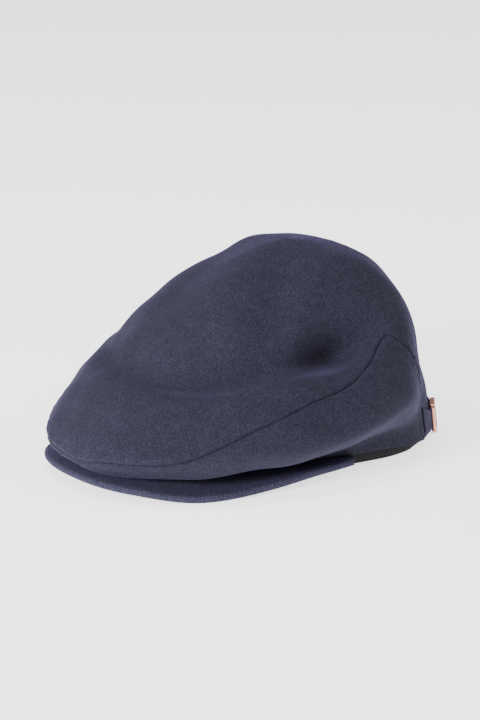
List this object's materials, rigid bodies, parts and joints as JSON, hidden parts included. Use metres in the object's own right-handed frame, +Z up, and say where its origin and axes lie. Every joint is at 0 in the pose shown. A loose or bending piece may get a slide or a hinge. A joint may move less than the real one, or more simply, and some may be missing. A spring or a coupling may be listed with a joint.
{
  "type": "flat cap",
  "caption": "Soft cloth flat cap with a full crown falling over a short stiff peak, an open head hollow, a sweatband and a buckled strap at the back.",
  "frame": {"origin": "under the middle of the cap, on the surface it rests on", "axes": "+Z up, -Y towards the peak, +X to the wearer's left"},
  "size_m": [0.2072, 0.267, 0.128],
  "materials": {
    "wool": "brushed navy melton wool, matt with a fine nap",
    "band": "dark charcoal woven sweatband",
    "buckle_metal": "satin copper-coloured plating"
  },
  "bodies": {
    "root": {"top_panel": "wool", "side_panel": "wool", "peak": "wool", "sweatband": "band", "strap": "wool", "buckle": "buckle_metal"}
  },
  "joints": []
}
